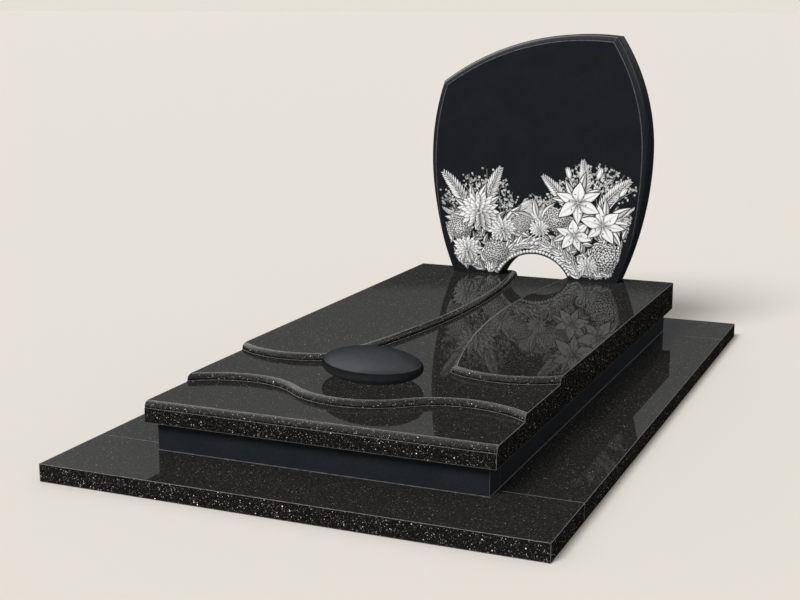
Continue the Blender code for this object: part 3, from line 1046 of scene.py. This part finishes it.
    def cluster(self, start, radius, level):
        """A round head of small four-petalled flowers, lit from the upper left."""
        for i in range(self.florets):
            share = math.sqrt(1 - i / self.florets)
            angle = self.golden_turn * i + self.vary(-0.1, 0.1)
            a, b = share * math.cos(angle), share * math.sin(angle)
            bulge = math.sqrt(max(1 - share * share, 0.0))
            shade = 0.58 + 0.75 * max(-0.42 * a + 0.50 * b + 0.76 * bulge, 0.0)
            shade *= self.vary(0.85, 1.12)
            here = (start[0] + a * radius, start[1] + b * radius * self.cluster_squash)
            size = radius * (0.120 + 0.045 * bulge)
            turn = self.vary(0.0, math.pi)
            layer = level + 0.12 * i
            rim = size * 1.12
            self.stamp(self.pearl_shade, (here[0] - rim, here[1]), (rim * 2, rim * 2), 0.0, layer - 0.06)
            for quarter in range(4):
                angle = turn + quarter * math.pi / 2
                self.stamp(self.floret, here, (size, size * 1.6), angle, layer, 0.0, shade)

    def bud(self, start, length, angle, level):
        """A closed lily bud on its stem."""
        for i, (turn, wide, shade) in enumerate(((0.13, 0.26, 0.65), (-0.13, 0.26, 0.9), (0.0, 0.24, 1.05))):
            size = (length, length * wide)
            self.inlaid(self.lily, self.shade, start, size, angle + turn, level + i, 0.0, shade, 1.25)

    def spray(self, start, length, angle, level, wide, shade=1.0):
        """One leaf with its shadow."""
        bend = self.vary(-0.25, 0.25)
        self.inlaid(self.leaf, self.shade, start, (length, length * wide), angle, level, bend, shade)

    def fern(self, start, length, angle, bend, level):
        """A frond with narrow leaflets in pairs."""
        self.stamp(self.stem, start, (length, 0.0022), angle, level + 1, bend, 0.9)
        for i in range(1, self.fern_pairs + 1):
            t = i / (self.fern_pairs + 1)
            base = placed(start, length * t, bend * length * t * t, angle)
            heading = angle + math.atan(2 * bend * t)
            size = length * 0.21 * math.sin(math.pi * (0.15 + 0.80 * t)) ** 0.7
            for side in (1, -1):
                turn = heading + side * math.radians(58 - 22 * t)
                tone = (1.0 if side > 0 else 0.75) * self.vary(0.85, 1.1)
                here = level + i % 2 * 0.5
                self.stamp(self.leaflet, base, (size, size * 0.23), turn, here, -side * 0.15, tone)

    def mist(self, start, angle, length, level):
        """Thin branching stems with tiny blossoms at their ends."""
        for i in range(self.mist_stems):
            turn = angle + (i - 3) * self.mist_spread / 3
            reach = length * self.vary(0.72, 1.0)
            bend = self.vary(-0.2, 0.2)
            self.stamp(self.stem, start, (reach, 0.0016), turn, level - 1, bend, 0.45)
            for _ in range(self.blossoms):
                t = self.vary(0.45, 1.02)
                side = bend * t * t + self.dice.gauss(0, 0.085) * (0.5 + t)
                base = placed(start, reach * t, reach * side, turn)
                size = self.vary(0.0036, 0.0056)
                shade = self.vary(0.6, 1.1)
                for petal in range(5):
                    here = level + 0.1 * (i + petal)
                    heading = math.tau * petal / 5 + turn
                    self.stamp(self.floret, base, (size, size * 0.8), heading, here, 0.0, shade)

    def foliage(self, level):
        """A bed of small leaves behind the flowers, down to the foot of the stone."""
        for i in range(self.small_leaves):
            x = self.vary(-0.34, 0.34)
            ceiling = 0.12 + 0.13 * min(abs(x) / 0.2, 1.0) if i < self.high_leaves else 0.07
            height = self.vary(0.0, 1.0) ** 0.8 * ceiling
            turn = math.pi / 2 - 2.2 * x + self.vary(-1.3, 1.3)
            shade = self.vary(0.45, 1.05)
            self.spray((x, height), self.vary(0.030, 0.048), turn, level + 0.015 * i, 0.40, shade)

    def laurel(self, level):
        """A band of leaves and berries over a row of pearls round the arch."""
        centre = self.plan.arch_height
        inner = self.plan.arch_radius + 0.0105
        start = math.asin((0.008 - centre) / inner)
        for i in range(self.pearls + 1):
            rise = start + (math.pi - 2 * start) * i / self.pearls
            self.berry(*placed((0.0, centre), inner, 0.0, rise), self.berry_size, level + 20)
        radius = self.plan.arch_radius + 0.040
        first = math.asin((0.006 - centre) / radius)
        for side in (1, -1):
            for i in range(self.laurel_nodes):
                rise = first + (math.pi / 2 - first) * i / (self.laurel_nodes - 0.6)
                x, height = side * radius * math.cos(rise), centre + radius * math.sin(rise)
                tangent = math.pi / 2 + rise if side > 0 else math.pi / 2 - rise
                for k, (turn, length) in enumerate(((0.55, 0.046), (-0.55, 0.043), (0.0, 0.046))):
                    turned = tangent + turn * self.vary(0.85, 1.1)
                    reach = length * self.vary(0.92, 1.06)
                    self.spray((x, height), reach, turned, level + 3 * (i % 4) + k, 0.40, 1.1)
                if i % 3 == 1:
                    self.berry(x - 0.004 * side, height + 0.002, self.berry_size, level + 14)
        for x, height in ((-0.009, 0.001), (0.009, 0.0), (0.0, 0.013)):
            self.berry(x, centre + radius + height, 0.0080, level + 17)

    def berry(self, x, height, radius, level):
        """A round berry, lit from the upper left."""
        for scale, mark, here in ((1.22, self.pearl_shade, level), (1.0, self.pearl, level + 0.5)):
            reach = radius * scale
            self.stamp(mark, (x - reach, height), (2 * reach, 2 * reach), 0.0, here)

    def compose(self):
        """The whole picture: blooms on the left, lilies on the right, laurel over the arch."""
        for *start, angle, length in (
            (-0.24, 0.22, 128, 0.17), (-0.20, 0.24, 92, 0.165), (-0.13, 0.18, 62, 0.17),
            (-0.28, 0.14, 160, 0.11), (0.02, 0.18, 100, 0.13), (0.08, 0.20, 128, 0.15),
            (0.17, 0.27, 100, 0.17), (0.24, 0.26, 62, 0.18), (0.27, 0.18, 28, 0.14), (0.20, 0.29, 80, 0.16),
        ):
            self.mist(start, math.radians(angle), length, -4)
        self.foliage(0)
        for *start, length, angle, bend in (
            (-0.25, 0.22, 0.20, 116, 0.18), (-0.20, 0.24, 0.18, 78, -0.16), (-0.26, 0.18, 0.14, 158, -0.1),
            (-0.11, 0.18, 0.15, 58, -0.2), (-0.04, 0.16, 0.12, 70, 0.25), (0.06, 0.19, 0.14, 132, 0.15),
            (0.24, 0.26, 0.17, 56, -0.2), (0.27, 0.20, 0.14, 22, 0.25), (0.13, 0.26, 0.16, 118, 0.2),
            (0.19, 0.30, 0.15, 88, 0.1),
        ):
            self.fern(start, length, math.radians(angle), bend, 10 + self.dice.randrange(3) * 2)
        for *start, turns in (
            (-0.235, 0.235, (30, 70, 108, 150, 190)), (-0.125, 0.185, (20, 58, 340)),
            (-0.275, 0.125, (165, 210)), (0.02, 0.205, (20, 65, 110, 155)),
            (0.165, 0.290, (40, 80, 125, 165)), (0.265, 0.215, (5, 42, 78, 320)),
            (0.150, 0.190, (180, 215)), (0.275, 0.095, (10, 330)),
        ):
            for i, turn in enumerate(turns):
                turn = math.radians(turn)
                base = placed(start, 0.02, 0.0, turn)
                self.spray(base, self.vary(0.075, 0.100), turn, 18 + 2 * (i % 4), 0.32)
        for *start, length, angle in (
            (0.235, 0.375, 0.052, 72), (0.135, 0.372, 0.050, 106), (0.318, 0.318, 0.046, 52),
        ):
            self.stamp(self.stem, start, (length * 1.4, 0.003), math.radians(angle + 180), 15)
            self.bud(start, length, math.radians(angle), 27)
        self.laurel(30)
        for *start, radius, level in (
            (-0.150, 0.085, 0.050, 52), (-0.300, 0.170, 0.048, 30), (0.085, 0.225, 0.050, 30),
            (0.275, 0.090, 0.062, 30), (-0.050, 0.200, 0.038, 34),
        ):
            self.cluster(start, radius, level)
        for *start, radius, level, turn in (
            (-0.268, 0.090, 0.060, 66, 0.2), (-0.128, 0.178, 0.056, 70, 0.5), (-0.222, 0.240, 0.082, 88, 0.0),
            (0.018, 0.186, 0.040, 66, 0.3), (0.205, 0.055, 0.042, 66, 0.1),
        ):
            self.bloom(start, radius, level, turn)
        for *start, radius, level, turn, lean in (
            (0.155, 0.170, 0.074, 74, 0.5, 0.3), (0.262, 0.212, 0.084, 86, 0.1, -0.3),
            (0.165, 0.290, 0.092, 98, 0.35, 0.2),
        ):
            self.star(start, radius, level, turn, lean)

    def mesh(self, name):
        """The picture as a mesh on the headstone's face, with its tones as an attribute."""
        x, height, depth = np.concatenate(self.points).T
        places = np.stack([self.plan.middle + x, STONE_LOW.y - depth, self.plan.foot + height], axis=1)
        mesh = bpy.data.meshes.new(name)
        mesh.from_pydata(places.tolist(), [], np.concatenate(self.faces).tolist())
        tones = np.clip(np.concatenate(self.tones), 0.0, None) ** self.contrast
        tones = np.clip(self.gain * tones, 0.0, self.brightest)
        colour = mesh.color_attributes.new("tone", "FLOAT_COLOR", "POINT")
        rows = np.stack([tones, tones, tones * 0.995, np.ones(len(tones))], axis=1)
        colour.data.foreach_set("color", rows.ravel())
        return mesh


class MONUMENT_OT_garland(bpy.types.Operator):
    """Etches the flowers and the laurel band into the headstone's face"""

    bl_idname = "monument.garland"
    bl_label = "Etched Garland"

    def execute(self, context):
        garland = Garland(HeadstonePlan())
        garland.compose()
        marks = garland.mesh("etched_garland")
        carried("etched_garland", marks, [etched_stone("etched_marks")], ())
        return {"FINISHED"}


# Pebble


class MONUMENT_OT_pebble(bpy.types.Operator):
    """Builds the smooth oval stone on the river bed"""

    bl_idname = "monument.pebble"
    bl_label = "Pebble"

    length: FloatProperty(name="Length", description="Longest way across", default=0.337, unit="LENGTH")
    breadth: FloatProperty(name="Breadth", description="Shortest way across", default=0.260, unit="LENGTH")
    turn: FloatProperty(
        name="Turn", description="Turn of the long way", default=math.radians(-32.3), subtype="ANGLE"
    )
    fullness: FloatProperty(name="Fullness", description="2 is an even oval, more is fuller", default=2.12)
    # Above this share of the height the pebble is waxed, and its colour carries a painted sheen.
    waterline: FloatProperty(
        name="Waxed From", description="Share of the height where the wax begins", default=0.645,
        subtype="FACTOR",
    )

    def execute(self, context):
        height = PEBBLE_HIGH.z - PEBBLE_LOW.z
        shape = bmesh.new()
        bmesh.ops.create_uvsphere(shape, u_segments=128, v_segments=64, radius=0.5)
        for vert in shape.verts:
            across, up = math.hypot(vert.co.x, vert.co.y) * 2, abs(vert.co.z) * 2
            vert.co /= (across**self.fullness + up**self.fullness) ** (1 / self.fullness)
        size = Matrix.Diagonal((self.length, self.breadth, height + PEBBLE_FLAT, 1.0))
        middle = (PEBBLE_LOW + PEBBLE_HIGH) / 2
        middle.z = PEBBLE_LOW.z + (height - PEBBLE_FLAT) / 2
        place = Matrix.Translation(middle) @ Matrix.Rotation(self.turn, 4, "Z") @ size
        bmesh.ops.transform(shape, matrix=place, verts=shape.verts)
        everything = shape.verts[:] + shape.edges[:] + shape.faces[:]
        cut = bmesh.ops.bisect_plane(
            shape, geom=everything, plane_co=(0, 0, PEBBLE_LOW.z), plane_no=(0, 0, -1), clear_outer=True
        )
        rim = [edge for edge in cut["geom_cut"] if isinstance(edge, bmesh.types.BMEdge)]
        bmesh.ops.contextual_create(shape, geom=rim)
        for face in shape.faces:
            face.smooth = True
        colour = context.scene.stone_looks.pebble
        waterline = PEBBLE_LOW.z + height * self.waterline
        # The pebble's material paints a sheen on its top and light at its shaded foot.
        look = pebble_stone("pebble_polish_and_painted_light", colour, PEBBLE_LOW.z, waterline)
        item = finish_piece("pebble_oval", shape, [look], ("pebble",))
        item.visible_diffuse = False
        item.visible_shadow = False
        return {"FINISHED"}


# Stage

FLOOR_HALF = 500.0
SUN_FROM, SUN_SPREAD = (-0.20, -0.66, 0.72), math.radians(25)
CAMERA_PLACE = (1.52370607, -4.02006412, 1.2231553)
CAMERA_TURN = (78.07307537, -0.10350416, 22.95300407)
SENSOR_WIDTH = 36.0
SKY_TINT, BACKDROP = (1.0, 0.985, 0.965), (0.7925, 0.7526, 0.6846)

# Brightness of the studio that the polish reflects, by the sine of the height above the horizon
REFLECTED = (
    (0.0, 0.02), (0.12, 0.10), (0.195, 0.12), (0.200, 0.38), (0.26, 0.72), (0.32, 1.25), (0.60, 1.3),
    (1.0, 1.7),
)
REFLECTED_STRENGTH = 2.0
# A dimmer part of it, high over the front and the right, and a brighter one half-way up on the left: the
# middle, the cosines of the angles from it where the change begins and is whole, and the change
PATCHES = (((0.45, -0.25, 0.857), 0.50, 0.90, 0.35), ((-0.72, 0.30, 0.626), 0.80, 0.97, 2.4))


def soft_sun(name, strength):
    """Even light over the whole floor, from high in front."""
    data = bpy.data.lights.new(name, "SUN")
    data.energy = strength
    data.angle = SUN_SPREAD
    item = added(name, data)
    item.rotation_euler = Vector(SUN_FROM).to_track_quat("Z", "Y").to_euler()
    item.visible_glossy = False


def studio_world(strength):
    """An even pale sky for the soft light, and a graded one for the reflections."""
    world = bpy.data.worlds.new("studio")
    bpy.context.scene.world = world
    world.use_nodes = True
    world.cycles.sampling_method = "NONE"
    tree = world.node_tree
    tree.nodes.clear()
    way = tree.nodes.new("ShaderNodeTexCoord").outputs["Generated"]
    parts = node(tree, "ShaderNodeSeparateXYZ", way).outputs
    changes = []
    for middle, begins, whole, change in PATCHES:
        towards = node(tree, "ShaderNodeVectorMath", way, middle, operation="DOT_PRODUCT")
        changes.append(ranged(tree, towards.outputs["Value"], begins, whole, 1.0, change))
    ramp = node(tree, "ShaderNodeValToRGB", parts["Z"])
    stops = ramp.color_ramp.elements
    while len(stops) < len(REFLECTED):
        stops.new(1.0)
    for stop, (height, light) in zip(stops, REFLECTED):
        stop.position = height
        stop.color = (*[light / REFLECTED_STRENGTH] * 3, 1.0)
    patched = shaded(tree, ramp.outputs["Color"], maths(tree, "MULTIPLY", *changes))
    tint = shaded(tree, SKY_TINT, ranged(tree, parts["X"], -0.2, 0.9, 1.0, 0.85))
    seen = node(tree, "ShaderNodeBackground", tint, strength)
    graded = node(tree, "ShaderNodeBackground", patched, REFLECTED_STRENGTH)
    backdrop = node(tree, "ShaderNodeBackground", BACKDROP)
    rays = tree.nodes.new("ShaderNodeLightPath").outputs
    for kind, source in (("Is Glossy Ray", graded), ("Is Camera Ray", backdrop)):
        seen = node(tree, "ShaderNodeMixShader", rays[kind], seen.outputs[0], source.outputs[0])
    node(tree, "ShaderNodeOutputWorld", seen.outputs[0])


class MONUMENT_OT_stage(bpy.types.Operator):
    """Builds the pale floor, the soft lights and the camera"""

    bl_idname = "monument.stage"
    bl_label = "Stage"

    def execute(self, context):
        studio = context.scene.studio_settings
        shape = bmesh.new()
        bmesh.ops.create_grid(shape, x_segments=1, y_segments=1, size=FLOOR_HALF)
        floor = added("floor", mesh_from("floor", shape))
        material, _, inputs, _ = new_stone("floor_paint", 0.85, 0.1)
        inputs["Base Color"].default_value = (*studio.floor, 1.0)
        floor.data.materials.append(material)
        floor.visible_glossy = False
        soft_sun("sun", studio.sun)
        studio_world(studio.sky)
        camera = added("camera", bpy.data.cameras.new("camera"))
        camera.data.lens = studio.lens
        camera.data.sensor_width = SENSOR_WIDTH
        camera.location = CAMERA_PLACE
        camera.rotation_euler = Euler([math.radians(angle) for angle in CAMERA_TURN], "XYZ")
        context.scene.camera = camera
        context.scene.view_settings.view_transform = "Standard"
        return {"FINISHED"}


class MONUMENT_PT_panel(bpy.types.Panel):
    """Lists the monument's pieces and their settings"""

    bl_label = "Grave Monument"
    bl_idname = "MONUMENT_PT_panel"
    bl_space_type = "VIEW_3D"
    bl_region_type = "UI"
    bl_category = "Monument"

    def draw(self, context):
        for group in (context.scene.stone_sizes, context.scene.stone_looks, context.scene.studio_settings):
            box = self.layout.box()
            for name in group.__annotations__:
                box.prop(group, name)
        for operator in OPERATORS:
            self.layout.operator(operator.bl_idname)


OPERATORS = (
    MONUMENT_OT_surround,
    MONUMENT_OT_plinth,
    MONUMENT_OT_ledger,
    MONUMENT_OT_headstone,
    MONUMENT_OT_garland,
    MONUMENT_OT_pebble,
    MONUMENT_OT_stage,
)
GROUPS = {"stone_sizes": StoneSizes, "stone_looks": StoneLooks, "studio_settings": StudioSettings}


def register():
    for name, group in GROUPS.items():
        bpy.utils.register_class(group)
        setattr(bpy.types.Scene, name, PointerProperty(type=group))
    for item in (*OPERATORS, MONUMENT_PT_panel):
        bpy.utils.register_class(item)


def unregister():
    for item in (MONUMENT_PT_panel, *reversed(OPERATORS)):
        bpy.utils.unregister_class(item)
    for name, group in GROUPS.items():
        delattr(bpy.types.Scene, name)
        bpy.utils.unregister_class(group)


def main():
    register()
    for operator in OPERATORS:
        group, name = operator.bl_idname.split(".")
        getattr(getattr(bpy.ops, group), name)()


if __name__ == "__main__":
    main()
